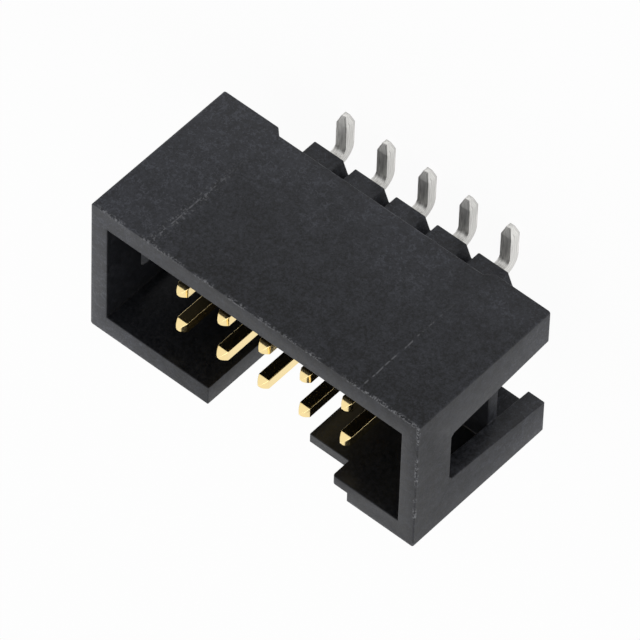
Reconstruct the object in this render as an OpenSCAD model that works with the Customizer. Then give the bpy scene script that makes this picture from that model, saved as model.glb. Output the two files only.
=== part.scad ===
// Box header for ribbon-cable sockets: a shrouded double row of square contacts in one moulding,
// with tails that are bent outwards to lie flat on a circuit board.
// Millimetres. The board's surface is z = 0, the mouth faces +Z and the key notch faces -Y.

/* [Contact grid] */
// Contacts in each of the two rows
columns = 5; // [2:1:17]
// Distance between neighbouring contacts along a row
pitch = 2.54; // [2.2:0.01:3.2]
// Distance between the two rows
row_pitch = 2.54; // [2.2:0.01:3.6]

/* [Contacts] */
// Side of the square wire
wire = 0.64; // [0.5:0.01:0.76]
// How far the contact tips stay below the mouth
tip_drop = 0.5; // [0.1:0.05:1.5]
// Length of the tapered mating tip
tip_len = 0.4; // [0.2:0.05:0.9]
// Side of the flat left at the end of the mating tip
tip_flat = 0.3; // [0.15:0.01:0.4]
// Inner radius of the bend above the board
bend_r = 0.3; // [0.15:0.01:0.5]
// Reach of a tail from its row's centre line to its end
tail_reach = 2.63; // [2:0.01:3.2]
// Length of the tapered end of a tail
tail_tip_len = 0.5; // [0.2:0.05:0.7]
// Side of the flat left at a tail's end
tail_flat = 0.28; // [0.15:0.01:0.4]
// Clearance on each side of a contact in the base
contact_gap = 0.01; // [0.005:0.005:0.05]

/* [Cavity] */
// From the end contacts' centres to the cavity's end
end_room = 3.97; // [3.2:0.01:5]
// From a row's centre line to the long wall
side_room = 1.93; // [1.6:0.01:2.6]
// From the mouth down to the cavity's floor
cavity_depth = 6.35; // [5:0.05:9]

/* [Walls] */
// Thickness of the two end walls
end_wall = 1; // [0.7:0.05:1.6]
// Thickness of the two long walls
side_wall = 1.2; // [0.9:0.05:1.8]
// Thickness of the cavity's floor
floor_t = 0.7; // [0.4:0.05:1.2]
// How far the corner feet reach below the floor's upper face
skirt = 3; // [1.8:0.05:3.8]
// Length of a foot along the long wall
foot_len = 3.4; // [2:0.05:5]
// How far the long walls' middle stops short of the feet
arch_rise = 0.38; // [0.1:0.01:0.8]
// Radius of the upright outer corners
corner_r = 0.15; // [0.05:0.01:0.5]

/* [Base] */
// From the board up to the base's underside
base_lift = 1.45; // [1.2:0.05:2.5]
// From the base's underside up to the floor's upper face
base_h = 4.9; // [4:0.05:6]
// From a row's centre line out to the ribs' faces
rib_reach = 0.98; // [0.7:0.01:1.3]
// Width of the grooves between the ribs, at the ribs' faces
groove_top = 0.74; // [0.4:0.01:1]
// Width of the grooves at their bottom
groove_bottom = 0.1; // [0.05:0.01:0.3]
// Depth of the grooves
groove_depth = 0.73; // [0.3:0.01:0.9]

/* [Key notch] */
// Width of the notch in the wall on the -Y side
notch_w = 5.3; // [4:0.05:6]
// Length of the low step beside the notch
step_len = 2.4; // [1:0.05:3]
// How far the low step lies below the mouth
step_drop = 1.15; // [0.5:0.05:2]
// Length of the thinned stretch of wall beside the notch
thin_len = 3.3; // [2:0.05:4.2]
// Thickness of the wall along the thinned stretch
thin_wall = 0.6; // [0.4:0.05:0.8]
// Radius of the thinned wall's upper corner over the step
tongue_r = 0.18; // [0.05:0.01:0.4]

/* [End slots] */
// From the mouth down to the start of the slots
slot_drop = 2.46; // [1.5:0.02:4]
// Width of a slot at its start
slot_w = 3.34; // [2.4:0.02:4]
// Width of a slot at the feet
slot_end_w = 4.5; // [4:0.05:5.2]
// Chamfer in the slots' inner corners
slot_chamfer = 0.18; // [0.05:0.01:0.4]

/* [Hidden] */
$fn = 48;
eps = 0.01; // how far a cutter runs past the face that it opens

floor_z = base_lift + base_h;
mouth_z = floor_z + cavity_depth;
feet_z = floor_z - skirt;
cavity_l = (columns - 1) * pitch + 2 * end_room;
cavity_w = row_pitch + 2 * side_room;
body_l = cavity_l + 2 * end_wall;
body_w = cavity_w + 2 * side_wall;
base_l = columns * pitch;
base_w = row_pitch + 2 * rib_reach;
hole = wire + 2 * contact_gap;

// ---- housing -------------------------------------------------------------------------------

// A rectangle on the origin with true round corners.
module rounded(l, w, r) {
    square([l - 2 * r, w], center = true);
    square([l, w - 2 * r], center = true);
    for (x = [-1, 1], y = [-1, 1])
        translate([x * (l / 2 - r), y * (w / 2 - r)]) circle(r);
}

// The four walls and the floor between them: a block with the cavity above the floor and a pocket
// below it, open at the feet.
module shroud() {
    difference() {
        translate([0, 0, feet_z])
            linear_extrude(mouth_z - feet_z) rounded(body_l, body_w, corner_r);
        translate([-cavity_l / 2, -cavity_w / 2, floor_z])
            cube([cavity_l, cavity_w, cavity_depth + eps]);
        translate([-cavity_l / 2, -cavity_w / 2, feet_z - eps])
            cube([cavity_l, cavity_w, skirt - floor_t + eps]);
    }
}

// Outline of one groove, open towards +Y, with its mouth on the x axis.
module groove() {
    flare = (groove_top - groove_bottom) / groove_depth;
    polygon([[-groove_bottom / 2, -groove_depth], [groove_bottom / 2, -groove_depth],
             [groove_top / 2 + flare * eps, eps], [-groove_top / 2 - flare * eps, eps]]);
}

// The block below the floor that grips the contacts: a rib over every contact, with a groove
// between neighbours and half a groove at each end.
module base() {
    translate([0, 0, base_lift])
        linear_extrude(base_h - floor_t / 2)
            difference() {
                square([base_l, base_w], center = true);
                for (side = [0, 1], i = [0:columns])
                    mirror([0, side])
                        translate([(i - columns / 2) * pitch, base_w / 2]) groove();
            }
}

// The notch through the -Y wall, down to the floor, with the low step on its +X side. The profile
// lies in x and z and is pushed through the wall.
module key_notch() {
    edge = notch_w / 2;
    translate([0, -cavity_w / 2 + eps, 0]) rotate([90, 0, 0])
        linear_extrude(side_wall + 2 * eps) {
            translate([-edge, floor_z]) square([notch_w, cavity_depth + eps]);
            difference() {
                translate([0, mouth_z - step_drop])
                    square([edge + step_len + tongue_r, step_drop + eps]);
                translate([edge + step_len, 0])
                    tongue_corner();
            }
        }
}

// What stays of the wall at the step's end, with its upper corner rounded off.
module tongue_corner() {
    square([tongue_r + eps, mouth_z - tongue_r]);
    translate([tongue_r, mouth_z - tongue_r]) circle(tongue_r);
}

// The outer face of the wall steps back beside the notch.
module thin_recess() {
    translate([notch_w / 2 - eps, -body_w / 2 - eps, floor_z])
        cube([thin_len + eps, side_wall - thin_wall + eps, cavity_depth + eps]);
}

// One slot through an end wall, open at the feet and wider there. The profile lies in y and z.
module end_slot() {
    half = slot_w / 2;
    top = mouth_z - slot_drop;
    spread = (slot_end_w - slot_w) / 2 / (top - feet_z);
    below = feet_z - eps;
    foot = half + spread * (top - below);
    chamfer_y = half + spread * slot_chamfer;
    translate([cavity_l / 2, 0, 0]) rotate([90, 0, 90])
        linear_extrude(end_wall + eps)
            polygon([[-foot, below], [foot, below], [chamfer_y, top - slot_chamfer],
                     [half - slot_chamfer, top], [slot_chamfer - half, top],
                     [-chamfer_y, top - slot_chamfer]]);
}

// The middle of both long walls ends higher than the feet, with a ramp at each end.
module arch() {
    half = body_l / 2 - foot_len;
    translate([0, body_w / 2 + eps, 0]) rotate([90, 0, 0])
        linear_extrude(body_w + 2 * eps)
            polygon([[-half - eps, feet_z - eps], [half + eps, feet_z - eps],
                     [half - arch_rise, feet_z + arch_rise],
                     [arch_rise - half, feet_z + arch_rise]]);
}

// Centre of contact i, counted from 1: odd numbers on the notch side.
function column_x(i) = (floor((i - 1) / 2) - (columns - 1) / 2) * pitch;
function row_side(i) = i % 2 == 1 ? -1 : 1;

module contact_holes() {
    for (i = [1:2 * columns])
        translate([column_x(i), row_side(i) * row_pitch / 2, 0])
            translate([0, 0, base_lift - eps])
                linear_extrude(base_h + 2 * eps) square(hole, center = true);
}

module housing() {
    color([0.13, 0.13, 0.14])
        difference() {
            union() {
                difference() {
                    shroud();
                    key_notch();
                    thin_recess();
                    end_slot();
                    mirror([1, 0, 0]) end_slot();
                    arch();
                }
                base();
            }
            contact_holes();
        }
}

// ---- contacts ------------------------------------------------------------------------------

// A square taper that stands on z = 0.
module taper(from, to, len) {
    side = [[-from / 2, 0], [from / 2, 0], [to / 2, len], [-to / 2, len]];
    intersection() {
        rotate([90, 0, 0]) linear_extrude(from, center = true) polygon(side);
        rotate([90, 0, 90]) linear_extrude(from, center = true) polygon(side);
    }
}

// Side view of the wire between its tapers, in y and z: post, bend and tail.
module wire_side() {
    bend_y = wire / 2 + bend_r;
    bend_z = wire + bend_r;
    post_top = mouth_z - tip_drop - tip_len;
    translate([-wire / 2, bend_z]) square([wire, post_top - bend_z]);
    intersection() {
        translate([bend_y, bend_z])
            difference() {
                circle(wire + bend_r);
                circle(bend_r);
            }
        translate([-wire / 2, 0]) square([wire + bend_r, wire + bend_r]);
    }
    translate([bend_y, 0]) square([tail_reach - tail_tip_len - bend_y, wire]);
}

// One contact whose tail points to +Y, with the post's centre line on the z axis.
module contact_blank() {
    rotate([90, 0, 90]) linear_extrude(wire, center = true) wire_side();
    translate([0, 0, mouth_z - tip_drop - tip_len]) taper(wire, tip_flat, tip_len);
    translate([0, tail_reach - tail_tip_len, wire / 2]) rotate([-90, 0, 0])
        taper(wire, tail_flat, tail_tip_len);
}

module contact(i) {
    color([0.85, 0.68, 0.33])
        translate([column_x(i), row_side(i) * row_pitch / 2, 0])
            mirror([0, row_side(i) < 0 ? 1 : 0, 0]) contact_blank();
}

housing();
for (i = [1:2 * columns])
    contact(i);
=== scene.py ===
import math
from functools import partial

import bmesh
import bpy
import numpy as np
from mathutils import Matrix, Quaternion, Vector


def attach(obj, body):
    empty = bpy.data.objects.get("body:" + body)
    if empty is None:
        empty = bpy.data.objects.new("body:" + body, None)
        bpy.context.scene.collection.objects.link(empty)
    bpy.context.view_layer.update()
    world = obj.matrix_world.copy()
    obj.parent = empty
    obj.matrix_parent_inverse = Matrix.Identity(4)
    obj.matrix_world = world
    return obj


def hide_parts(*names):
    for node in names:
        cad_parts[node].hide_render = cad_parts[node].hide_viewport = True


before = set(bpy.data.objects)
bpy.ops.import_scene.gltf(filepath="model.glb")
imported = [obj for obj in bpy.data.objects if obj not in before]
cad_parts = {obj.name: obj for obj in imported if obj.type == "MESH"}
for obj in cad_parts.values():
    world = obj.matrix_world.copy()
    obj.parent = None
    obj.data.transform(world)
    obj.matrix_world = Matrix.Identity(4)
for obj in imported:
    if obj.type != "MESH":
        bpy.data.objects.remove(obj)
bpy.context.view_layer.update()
print("frame loaded:", len(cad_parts), "nodes")

bpy.context.scene.view_settings.view_transform = "Standard"
mm = 0.001  # every size below is in millimetres and is turned to metres with this


def paint(hexColour):
    # an sRGB hex colour as linear red, green, blue and alpha
    srgb = [int(hexColour[i:i + 2], 16) / 255 for i in (1, 3, 5)]
    return (*[c / 12.92 if c <= 0.04045 else ((c + 0.055) / 1.055) ** 2.4 for c in srgb], 1.0)


def addNode(tree, kind, inputs=None, **settings):
    # adds one node; inputs maps a socket's name or number to a value, an output, or a node's first output
    made = tree.nodes.new(kind)
    for name, value in settings.items():
        setattr(made, name, value)
    for name, value in (inputs or {}).items():
        if isinstance(value, bpy.types.Node):
            value = value.outputs[0]
        if isinstance(value, bpy.types.NodeSocket):
            tree.links.new(value, made.inputs[name])
        else:
            made.inputs[name].default_value = value
    return made


def newMaterial(name):
    material = bpy.data.materials.new(name)
    material.use_nodes = True
    material.node_tree.nodes.clear()
    return material, material.node_tree


def linked(name, data):
    made = bpy.data.objects.new(name, data)
    bpy.context.scene.collection.objects.link(made)
    return made


studio = {
    "azimuth": 152.494,         # degrees, 0 looks along +Y
    "elevation": 29.309,        # degrees above the board
    "roll": -131.172,           # the camera is turned so that the wall on +Y is uppermost
    "distance": 423.12,         # from the aim to the lens
    "aim": (-0.191, -0.713, 7.634),
    "lens": 508.76,
    "sensor": 36,
    "clip": (10, 10000),
    "floorHalf": 600,
    "floorColour": "#f4f4f4",
    "floorWhite": 0.95,         # share of plain white where the floor is seen; the rest keeps the shadow
    "worldShare": 0.56,         # share of a plain light level that comes from all round
    "lampAim": (0, 0, 6),
    "lamps": {                  # share of a plain light level, distance, size, direction from the object
        "overhead": (0.11, 320, 260, (0.25, 0.10, 1.0)),
        "frontSide": (0.10, 320, 240, (-0.75, -0.80, 0.55)),
        "endSide": (0.26, 320, 220, (1.0, 0.14, 0.45)),
    },
}


def placeCamera(s):
    azimuth, elevation = math.radians(s["azimuth"]), math.radians(s["elevation"])
    back = Vector((math.sin(azimuth) * math.cos(elevation),
                   -math.cos(azimuth) * math.cos(elevation),
                   math.sin(elevation)))
    lens = bpy.data.cameras.new("camera")
    lens.lens = s["lens"]
    lens.sensor_width = s["sensor"]
    lens.clip_start, lens.clip_end = [reach * mm for reach in s["clip"]]
    camera = linked("camera", lens)
    camera.rotation_mode = "QUATERNION"
    camera.location = Vector(s["aim"]) * mm + back * s["distance"] * mm
    camera.rotation_quaternion = ((-back).to_track_quat("-Z", "Y")
                                  @ Quaternion((0, 0, 1), math.radians(s["roll"])))
    bpy.context.scene.camera = camera


def placeLamps(s):
    for name, (share, distance, size, direction) in s["lamps"].items():
        away = Vector(direction).normalized()
        lamp = bpy.data.lights.new(name, "AREA")
        lamp.shape = "SQUARE"
        lamp.size = size * mm
        lamp.energy = share * math.pi ** 2 * (distance * mm) ** 2
        holder = linked(name, lamp)
        holder.location = Vector(s["lampAim"]) * mm + away * distance * mm
        holder.rotation_euler = away.to_track_quat("Z", "Y").to_euler()


def seenDirectly(tree):
    # 1 for what the camera, a reflection or a clear piece shows, 0 for what only lights the object
    path = addNode(tree, "ShaderNodeLightPath")
    either = addNode(tree, "ShaderNodeMath", {0: path.outputs["Is Camera Ray"],
                                              1: path.outputs["Is Glossy Ray"]}, operation="MAXIMUM")
    return addNode(tree, "ShaderNodeMath", {0: either, 1: path.outputs["Is Transmission Ray"]},
                   operation="MAXIMUM")


def makeWorld(s):
    world = bpy.data.worlds.new("studioWhite")
    bpy.context.scene.world = world
    world.use_nodes = True
    tree = world.node_tree
    tree.nodes.clear()
    strength = addNode(tree, "ShaderNodeMapRange", {"Value": seenDirectly(tree), "To Min": s["worldShare"],
                                                    "To Max": 1.0})
    sky = addNode(tree, "ShaderNodeBackground", {"Color": (1, 1, 1, 1), "Strength": strength})
    addNode(tree, "ShaderNodeOutputWorld", {"Surface": sky})


def makeFloor(s):
    h = s["floorHalf"] * mm
    mesh = bpy.data.meshes.new("floor")
    mesh.from_pydata([(-h, -h, 0), (h, -h, 0), (h, h, 0), (-h, h, 0)], [], [(0, 1, 2, 3)])
    material, tree = newMaterial("paperSweep")  # matt white paper
    paper = addNode(tree, "ShaderNodeBsdfDiffuse", {"Color": paint(s["floorColour"])})
    white = addNode(tree, "ShaderNodeEmission", {"Color": (1, 1, 1, 1), "Strength": 1.0})
    share = addNode(tree, "ShaderNodeMath", {0: seenDirectly(tree), 1: s["floorWhite"]},
                    operation="MULTIPLY")
    both = addNode(tree, "ShaderNodeMixShader", {0: share, 1: paper, 2: white})
    addNode(tree, "ShaderNodeOutputMaterial", {"Surface": both})
    mesh.materials.append(material)
    linked("floor", mesh)


placeCamera(studio)
placeLamps(studio)
makeWorld(studio)
makeFloor(studio)
print("studio done")


housing = {
    "edgeRadius": 0.05,         # the moulding's edges are nearly sharp
    "edgeSteps": 3,
    "edgeAngle": 28,            # degrees; edges less sharp than this stay as they are
    "flatAngle": 0.4,
    "mergeWithin": 0.002,
    "mouthZ": 12.70,
    "wallY": 4.40,
    "endX": 10.05,
    "witnessX": 6.45,           # faint lines that two mould inserts leave on the wall on +Y, lit by a painted highlight along them
    "swayWidth": 0.10,
    "backEdgeZ": 3.73,          # where the long walls' middle ends
    "black": "#08090c",
    "grey": "#41434a",
    # painted highlight colour: the pale grey laid along the witness lines, mouth edges and back edge
    "highlightGrey": "#85868a",
    "patterns": {               # feature size, detail, roughness, and the part of the range that shows
        "grain": (0.2, 4.0, 0.7, (0.40, 0.62)),         # fibres are finer: this is the coarsest mottle
        "fine": (1 / 12, 2.0, 0.6, (0.38, 0.62)),
        "blotch": (1 / 1.5, 3.0, 0.6, (0.40, 0.64)),
        "cloud": (1 / 0.24, 3.0, 0.55, (0.36, 0.58)),   # flow marks
        "hairPath": (1 / 2.6, 2.5, 0.6, None),
        "hairGaps": (1 / 2.1, 1.0, 0.5, (0.47, 0.58)),
        "specks": (1 / 9, 1.5, 0.6, (0.60, 0.70)),
        "lineSway": (1 / 0.8, 1.0, 0.5, None),
        "lineGaps": (1 / 3.2, 2.0, 0.5, (0.42, 0.60)),
        "strewnSpots": (1 / 7, 2.0, 0.7, (0.54, 0.64)),
        # spread and spots of the painted highlights speckled along the mouth edges
        "edgeSpread": (1 / 0.9, 2.0, 0.5, (0.38, 0.60)),
        "edgeSpots": (1 / 8.5, 2.0, 0.7, (0.46, 0.62)),
        "backGaps": (1 / 2.4, 2.0, 0.5, (0.40, 0.62)),
    },
    "spans": {                  # a place or distance, and where its mark begins and is whole
        "nearEnd": ("x", -4.5, -8.5),           # the melt left more fibre at the surface at one end
        "lowDown": ("z", 8.8, 4.8),             # and along the back
        "plainEnd": ("x", -6.0, -2.0),
        "mouthSide": ("z", 9.2, 12.0),
        "inRows": ("absY", 3.23, 3.22),         # just past the cavity's walls
        "inEnds": ("absX", 9.08, 9.07),
        "aboveFloor": ("z", 6.2, 6.3),
        "onWall": ("y", 4.28, 4.32),
        "lineStart": ("z", 5.2, 9.0),           # the witness lines fade from the mouth inwards
        "strewnEnd": ("x", -4.0, -6.0),
        "backEnds": ("absX", 6.40, 6.15),
        "hairLine": ("hairOff", 0.045, 0.010),
        "thinLine": ("lineOff", 0.055, 0.015),
        "wideLine": ("lineOff", 0.42, 0.08),
        "mouthEdge": ("mouthReach", 0.20, 0.04),
        "backEdge": ("wallBack", 0.09, 0.03),
    },
    "products": {               # marks that show only where all of these do
        "nearBack": ("lowDown", "cloud"),
        "nearMouth": ("mouthSide", "plainEnd"),
        "inside": ("inRows", "inEnds", "aboveFloor"),
        "hairs": ("hairLine", "hairGaps"),
        "lineReach": ("onWall", "lineStart"),
        "thin": ("thinLine", "lineGaps"),
        "strewn": ("wideLine", "strewnSpots", "strewnEnd"),
        # painted highlights: pale speckles along the mouth edges
        "edgeGlints": ("mouthEdge", "edgeSpread", "edgeSpots"),
        # painted highlight: a pale line with gaps along the middle of the back edge
        "backEdgeHighlight": ("backEdge", "backGaps", "backEnds"),
    },
    "onFibre": {"hairs": (0.44, 0.12), "specks": (0.42, 0.20)},     # extra share on fibrous areas, and share
    "lightens": {"grain": 0.30, "fine": 0.14, "blotch": 0.16, "fibrous": 0.17, "hairs": 1.0, "specks": 1.0,
                 "nearMouth": -0.10},
    "strewnShare": 0.9,
    # painted highlights: how far each mark is lifted to that pale grey
    "highlightMarks": {"witnessAndHighlight": 0.42, "edgeGlints": 0.75, "backEdgeHighlight": 0.30},
    "insidePaintedShade": 0.75,      # painted shade: the cavity's inside is coloured darker, where shade falls; it comes off a polished core
    "insideSmoother": 0.12,
    "roughFrom": ((0.3, 0.7), (0.42, 0.56)),    # the grain's range, and the roughness it gives
    "markRougher": 0.15,
    "relief": {"grain": 0.5, "fine": 0.25},
    "markRelief": 0.5,
    "bump": (0.6, 0.02),        # strength, depth
    "ior": 1.5,
    "shine": 0.29,
}


def bevelledCopy(nodeName, pieceName, h):
    # the CAD node's loose triangles are merged and its flat faces joined, then every sharp edge is rounded
    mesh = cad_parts[nodeName].data.copy()
    mesh.name = pieceName
    shape = bmesh.new()
    shape.from_mesh(mesh)
    bmesh.ops.remove_doubles(shape, verts=shape.verts, dist=h["mergeWithin"] * mm)
    bmesh.ops.dissolve_limit(shape, angle_limit=math.radians(h["flatAngle"]), verts=shape.verts,
                             edges=shape.edges)
    for face in shape.faces:
        face.smooth = True
    shape.to_mesh(mesh)
    shape.free()
    mesh.materials.clear()
    piece = linked(pieceName, mesh)
    bevel = piece.modifiers.new("moulded edges", "BEVEL")
    bevel.width = h["edgeRadius"] * mm
    bevel.segments = h["edgeSteps"]
    bevel.limit_method = "ANGLE"
    bevel.angle_limit = math.radians(h["edgeAngle"])
    bevel.use_clamp_overlap = False
    bevel.harden_normals = True
    return piece


def glassFilledNylon(h):
    # Injection-moulded black nylon filled with short glass fibres: nearly black, softly satin, with
    # fine pale specks and hairs where fibres lie at the surface, and cloudy flow marks.
    # Painted highlights lighten the witness lines, the mouth edges and the back edge; painted shade darkens
    # the cavity's inside.
    material, tree = newMaterial("glassFilledNylon")
    add = partial(addNode, tree)
    maths, ramp, soft = "ShaderNodeMath", "ShaderNodeMapRange", {"interpolation_type": "SMOOTHSTEP"}
    place = add("ShaderNodeTexCoord")
    inMm = add("ShaderNodeMapping", {"Vector": place.outputs["Object"], "Scale": (1 / mm,) * 3})
    xyz = add("ShaderNodeSeparateXYZ", {0: inMm})

    raw, marks = {}, {}
    for name, (size, detail, roughness, shown) in h["patterns"].items():
        raw[name] = add("ShaderNodeTexNoise", {"Vector": inMm, "Scale": 1 / size, "Detail": detail,
                                               "Roughness": roughness})
        if shown:
            marks[name] = add(ramp, {"Value": raw[name], "From Min": shown[0], "From Max": shown[1]}, **soft)

    where = {"x": xyz.outputs[0], "y": xyz.outputs[1], "z": xyz.outputs[2]}
    where["absX"] = add(maths, {0: where["x"]}, operation="ABSOLUTE")
    where["absY"] = add(maths, {0: where["y"]}, operation="ABSOLUTE")
    # a hair runs where a noise passes its middle value, and a witness line sways with another
    offMiddle = add(maths, {0: raw["hairPath"], 1: 0.5}, operation="SUBTRACT")
    where["hairOff"] = add(maths, {0: offMiddle}, operation="ABSOLUTE")
    sway = add(maths, {0: raw["lineSway"], 1: 0.5}, operation="SUBTRACT")
    lineX = add(maths, {0: sway, 1: h["swayWidth"], 2: where["absX"]}, operation="MULTIPLY_ADD")
    fromLine = add(maths, {0: lineX, 1: h["witnessX"]}, operation="SUBTRACT")
    where["lineOff"] = add(maths, {0: fromLine}, operation="ABSOLUTE")
    # distance from an edge = square root of the sum of the squared distances from its two faces
    fromWall = add(maths, {0: where["absY"], 1: h["wallY"]}, operation="SUBTRACT")
    fromEnd = add(maths, {0: where["absX"], 1: h["endX"]}, operation="SUBTRACT")
    fromMouth = add(maths, {0: where["z"], 1: h["mouthZ"]}, operation="SUBTRACT")
    fromBack = add(maths, {0: where["z"], 1: h["backEdgeZ"]}, operation="SUBTRACT")
    for name, legs in (("wallMouth", (fromWall, fromMouth)), ("endMouth", (fromEnd, fromMouth)),
                       ("wallBack", (fromWall, fromBack))):
        squares = [add(maths, {0: leg, 1: 2.0}, operation="POWER") for leg in legs]
        total = add(maths, {0: squares[0], 1: squares[1]}, operation="ADD")
        where[name] = add(maths, {0: total}, operation="SQRT")
    where["mouthReach"] = add(maths, {0: where["wallMouth"], 1: where["endMouth"]}, operation="MINIMUM")

    for name, (axis, start, whole) in h["spans"].items():
        marks[name] = add(ramp, {"Value": where[axis], "From Min": start, "From Max": whole}, **soft)
    for name, (first, *others) in h["products"].items():
        marks[name] = marks[first]
        for other in others:
            marks[name] = add(maths, {0: marks[name], 1: marks[other]}, operation="MULTIPLY")
    marks["fibrous"] = add(maths, {0: marks["nearEnd"], 1: marks["nearBack"]}, operation="MAXIMUM")
    # the witness lines: the pale colour along them is a painted highlight on the inserts' step
    faint = add(maths, {0: marks["strewn"], 1: h["strewnShare"]}, operation="MULTIPLY")
    line = add(maths, {0: marks["thin"], 1: faint}, operation="MAXIMUM")
    marks["witnessAndHighlight"] = add(maths, {0: marks["lineReach"], 1: line}, operation="MULTIPLY")

    for name, (extra, share) in h["onFibre"].items():
        strength = add(maths, {0: marks["fibrous"], 1: extra, 2: share}, operation="MULTIPLY_ADD")
        marks[name] = add(maths, {0: marks[name], 1: strength}, operation="MULTIPLY")
    light = 0.0
    for name, share in h["lightens"].items():
        light = add(maths, {0: marks[name], 1: share, 2: light}, operation="MULTIPLY_ADD")
    # painted shade: inside the cavity only a quarter of the lightening stays, so it comes out darker
    paintedCavityShade = add(maths, {0: marks["inside"], 1: -h["insidePaintedShade"], 2: 1.0}, operation="MULTIPLY_ADD")
    light = add(maths, {0: light, 1: paintedCavityShade}, operation="MULTIPLY")
    # painted highlights: the marks' pale grey; the same mask also makes them rougher and gives them relief
    markAndHighlight = 0.0
    for name, share in h["highlightMarks"].items():
        mark = add(maths, {0: marks[name], 1: share}, operation="MULTIPLY")
        markAndHighlight = add(maths, {0: mark, 1: markAndHighlight}, operation="MAXIMUM")
    body = add("ShaderNodeMix", {0: light, 6: paint(h["black"]), 7: paint(h["grey"])}, data_type="RGBA")
    colour = add("ShaderNodeMix", {0: markAndHighlight, 6: body.outputs[2], 7: paint(h["highlightGrey"])}, data_type="RGBA")

    (low, high), (smooth, rough) = h["roughFrom"]
    rough = add(ramp, {"Value": raw["grain"], "From Min": low, "From Max": high, "To Min": smooth,
                       "To Max": rough}, **soft)
    rough = add(maths, {0: markAndHighlight, 1: h["markRougher"], 2: rough}, operation="MULTIPLY_ADD")
    rough = add(maths, {0: marks["inside"], 1: -h["insideSmoother"], 2: rough}, operation="MULTIPLY_ADD")
    height = add(maths, {0: markAndHighlight, 1: h["markRelief"]}, operation="MULTIPLY")
    for name, share in h["relief"].items():
        height = add(maths, {0: raw[name], 1: share, 2: height}, operation="MULTIPLY_ADD")
    strength, depth = h["bump"]
    bump = add("ShaderNodeBump", {"Height": height, "Strength": strength, "Distance": depth * mm})
    skin = add("ShaderNodeBsdfPrincipled", {"Base Color": colour.outputs[2], "Roughness": rough,
                                            "IOR": h["ior"], "Specular IOR Level": h["shine"],
                                            "Normal": bump})
    add("ShaderNodeOutputMaterial", {"Surface": skin})
    return material


shell = bevelledCopy("housing", "mouldedHousing", housing)
shell.data.materials.append(glassFilledNylon(housing))
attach(shell, "root")
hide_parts("housing")
print("housing done")


contacts = {
    "columns": 5,
    "pitch": 2.54,
    "rowPitch": 2.54,
    "wire": 0.64,
    "corner": 0.03,             # radius along the wire's four corners
    "cornerSteps": 6,
    "tipZ": 12.20,
    "tipLength": 0.40,
    "tipFlat": 0.06,            # the nose is rounded down to this
    "tipRound": 0.62,           # power of the nose's curve, 1 would be a straight taper
    "tipRings": (0, 0.05, 0.15, 0.3, 0.5, 0.75),    # shares of the nose's length
    "postRings": (6.6, 4.0, 1.4),
    "soft": 0.02,               # a short step beside each change of slope keeps the shading crisp
    "bendRadius": 0.30,         # inside the bend
    "bendSteps": 17,
    "tailReach": 2.63,
    "tailTipLength": 0.50,
    "tailFlat": 0.28,
    "tailRound": 0.06,          # the tail's last edge is drawn in by this share of the wire
    "goldPale": "#fdeab6",
    "goldDeep": "#f3d690",
    "tinPale": "#f6f5f2",
    "tinDeep": "#c4c3c0",
    "plating": (4.4, 3.6),      # gold above the first height, tin below the second
    "drawLine": (1 / 16, 1 / 0.9),      # width and length of a drawing line
    "drawNoise": (2.0, 0.6),    # detail, roughness
    "streaks": (0.35, 0.65),    # the part of that noise that shows on the tin
    "tinGrain": (1 / 9, 2.0),   # size, detail
    "goldRough": (0.07, 0.14),
    "tinRough": (0.50, 0.66),
    "bump": (0.25, 0.003),      # strength, depth
}


def wirePath(c):
    # The wire's centre line from the mating tip down the post, round a quarter of a circle of radius
    # bend + half the wire, and out along the tail. Gives outward distance, height, the direction's
    # angle, the distance run, and the section's scale, which grows from the tip as a power of the
    # distance (a rounded nose) and from the tail's end as a straight line.
    half, soft = c["wire"] / 2, c["soft"]
    radius = c["bendRadius"] + half
    bendZ = c["wire"] + c["bendRadius"]
    turn = np.linspace(0, math.pi / 2, c["bendSteps"])
    noseEnd = c["tipZ"] - c["tipLength"]
    tailTip = c["tailReach"] - c["tailTipLength"]
    postZ = np.concatenate([c["tipZ"] - c["tipLength"] * np.array(c["tipRings"]),
                            [noseEnd + soft, noseEnd - soft], c["postRings"], [bendZ + soft]])
    tailY = np.array([radius + soft, tailTip - soft, tailTip + soft, c["tailReach"] - soft, c["tailReach"]])
    out = np.concatenate([0 * postZ, radius - radius * np.cos(turn), tailY])
    up = np.concatenate([postZ, bendZ - radius * np.sin(turn), 0 * tailY + half])
    angle = np.concatenate([0 * postZ, turn, 0 * tailY + math.pi / 2])
    run = np.concatenate([[0], np.cumsum(np.hypot(np.diff(out), np.diff(up)))])
    smallTip, smallTail = c["tipFlat"] / c["wire"], c["tailFlat"] / c["wire"]
    fromTip = smallTip + (1 - smallTip) * np.clip(run / c["tipLength"], 0, 1) ** c["tipRound"]
    fromTail = np.interp(run[-1] - run, [0, c["tailTipLength"]], [smallTail, 1])
    scale = np.minimum(fromTip, fromTail)
    scale[-1] -= c["tailRound"]
    return out, up, angle, run, scale


def wireSection(c):
    # a square with round corners: corner centre + radius * (cos, sin), four quarters in turn
    steps = np.linspace(0, math.pi / 2, c["cornerSteps"])
    facing = (steps[None, :] + np.arange(4)[:, None] * math.pi / 2).ravel()
    middle = (np.arange(4) * math.pi / 2 + math.pi / 4).repeat(len(steps))
    inset = (c["wire"] / 2 - c["corner"]) * math.sqrt(2)
    across = inset * np.cos(middle) + c["corner"] * np.cos(facing)
    deep = inset * np.sin(middle) + c["corner"] * np.sin(facing)
    around = np.concatenate([[0], np.cumsum(np.hypot(np.diff(across), np.diff(deep)))])
    return across, deep, around, facing


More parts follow.
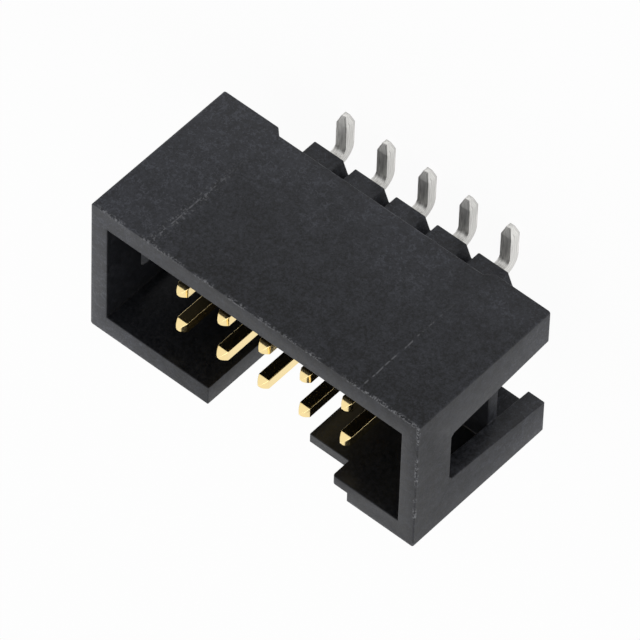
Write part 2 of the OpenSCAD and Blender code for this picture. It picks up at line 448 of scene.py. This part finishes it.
def sweptContact(name, c, x, side):
    # point(s, a) = centre(s) + scale(s) * (across(a) * X + deep(a) * normal(s))
    out, up, angle, run, scale = wirePath(c)
    across, deep, around, facing = wireSection(c)
    normalOut, normalUp = np.cos(angle)[:, None], np.sin(angle)[:, None]
    s = scale[:, None]
    px = x + s * across[None, :]
    pOut = out[:, None] + s * deep[None, :] * normalOut
    pz = up[:, None] + s * deep[None, :] * normalUp
    rowY = c["rowPitch"] / 2
    rings, count = pOut.shape
    points = np.stack([px, side * (rowY + pOut), pz], -1).reshape(-1, 3)
    ends = np.array([[x, side * (rowY + out[0]), up[0]], [x, side * (rowY + out[-1]), up[-1]]])
    points = np.concatenate([points, ends]) * mm

    # normal(s, a) = cos(lean) * (cos(a) * X + sin(a) * normal(s)) - sin(lean) * direction(s), where
    # lean(s) is the taper's slope, the mean of the slopes on both sides by their lengths
    length = np.diff(run)
    slope = np.arctan2(np.diff(scale) * c["wire"] / 2, length)
    pull = np.concatenate([[0], slope * length, [0]])
    reach = np.concatenate([[0], length, [0]])
    lean = ((pull[1:] + pull[:-1]) / (reach[1:] + reach[:-1]))[:, None]
    nx = np.cos(lean) * np.cos(facing)[None, :]
    nOut = np.cos(lean) * np.sin(facing) * normalOut - np.sin(lean) * normalUp
    nz = np.cos(lean) * np.sin(facing) * normalUp + np.sin(lean) * normalOut
    normals = np.stack([nx, side * nOut, nz], -1).reshape(-1, 3)
    normals = np.concatenate([normals, [[0, 0, 1], [0, side, 0]]])

    ring, step = np.meshgrid(np.arange(rings - 1), np.arange(count), indexing="ij")
    after = (step + 1) % count
    quads = np.stack([ring * count + step, ring * count + after,
                      (ring + 1) * count + after, (ring + 1) * count + step], -1).reshape(-1, 4)
    first, second = np.arange(count), (np.arange(count) + 1) % count
    startCap = np.stack([np.full(count, rings * count), second, first], -1)
    endCap = np.stack([np.full(count, rings * count + 1), (rings - 1) * count + first,
                       (rings - 1) * count + second], -1)
    if side > 0:
        quads, startCap, endCap = quads[:, ::-1], startCap[:, ::-1], endCap[:, ::-1]
    mesh = bpy.data.meshes.new(name)
    mesh.from_pydata(points.tolist(), [], quads.tolist() + startCap.tolist() + endCap.tolist())

    # the UV map runs round the wire and along it, in millimetres
    loopVerts = np.zeros(len(mesh.loops), np.int32)
    mesh.loops.foreach_get("vertex_index", loopVerts)
    u = np.concatenate([np.tile(around, rings), [0.5, 0.5]])
    v = np.concatenate([run.repeat(count), [0, run[-1]]])
    layer = mesh.uv_layers.new(name="wire")
    layer.data.foreach_set("uv", np.stack([u[loopVerts], v[loopVerts]], -1).ravel().astype(np.float32))
    mesh.polygons.foreach_set("use_smooth", np.ones(len(mesh.polygons), bool))
    mesh.update()
    mesh.normals_split_custom_set_from_vertices(normals.tolist())
    return linked(name, mesh)


def platedWire(c):
    # Square drawn bronze wire, plated: bright gold on the mating end, matte tin on the tail. The gold
    # mirrors what is round it, softened by fine drawing lines; the tin is a pale satin grey with streaks.
    material, tree = newMaterial("platedBronzeWire")
    add = partial(addNode, tree)
    ramp, mix, noise = "ShaderNodeMapRange", "ShaderNodeMix", "ShaderNodeTexNoise"
    place = add("ShaderNodeTexCoord")
    inMm = add("ShaderNodeMapping", {"Vector": place.outputs["Object"], "Scale": (1 / mm,) * 3})
    xyz = add("ShaderNodeSeparateXYZ", {0: inMm})
    wire = add("ShaderNodeUVMap", uv_map="wire")
    (width, run), (detail, roughness) = c["drawLine"], c["drawNoise"]
    grainSize, grainDetail = c["tinGrain"]
    drawn = add("ShaderNodeMapping", {"Vector": wire, "Scale": (1 / width, 1 / run, 1)})
    lines = add(noise, {"Vector": drawn, "Scale": 1.0, "Detail": detail, "Roughness": roughness})
    matt = add(noise, {"Vector": inMm, "Scale": 1 / grainSize, "Detail": grainDetail})
    goldZ, tinZ = c["plating"]
    toTin = add(ramp, {"Value": xyz.outputs[2], "From Min": goldZ, "From Max": tinZ},
                interpolation_type="SMOOTHSTEP")
    streaks = add(ramp, {"Value": lines, "From Min": c["streaks"][0], "From Max": c["streaks"][1]})
    goldTone = add(mix, {0: lines, 6: paint(c["goldDeep"]), 7: paint(c["goldPale"])}, data_type="RGBA")
    tinTone = add(mix, {0: streaks, 6: paint(c["tinDeep"]), 7: paint(c["tinPale"])}, data_type="RGBA")
    colour = add(mix, {0: toTin, 6: goldTone.outputs[2], 7: tinTone.outputs[2]}, data_type="RGBA")
    goldRough = add(ramp, {"Value": lines, "To Min": c["goldRough"][0], "To Max": c["goldRough"][1]})
    tinRough = add(ramp, {"Value": matt, "To Min": c["tinRough"][0], "To Max": c["tinRough"][1]})
    rough = add(mix, {0: toTin, 2: goldRough, 3: tinRough}, data_type="FLOAT")
    strength, depth = c["bump"]
    bump = add("ShaderNodeBump", {"Height": lines, "Strength": strength, "Distance": depth * mm})
    metal = add("ShaderNodeBsdfPrincipled", {"Base Color": colour.outputs[2], "Metallic": 1.0,
                                             "Roughness": rough, "Normal": bump})
    add("ShaderNodeOutputMaterial", {"Surface": metal})
    return material


wireMetal = platedWire(contacts)
for number in range(1, 2 * contacts["columns"] + 1):
    column = (number - 1) // 2 - (contacts["columns"] - 1) / 2
    side = -1 if number % 2 else 1
    pin = sweptContact("wireContact" + str(number), contacts, column * contacts["pitch"], side)
    pin.data.materials.append(wireMetal)
    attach(pin, "root")
    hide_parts("contact_" + str(number))
print("contacts done")
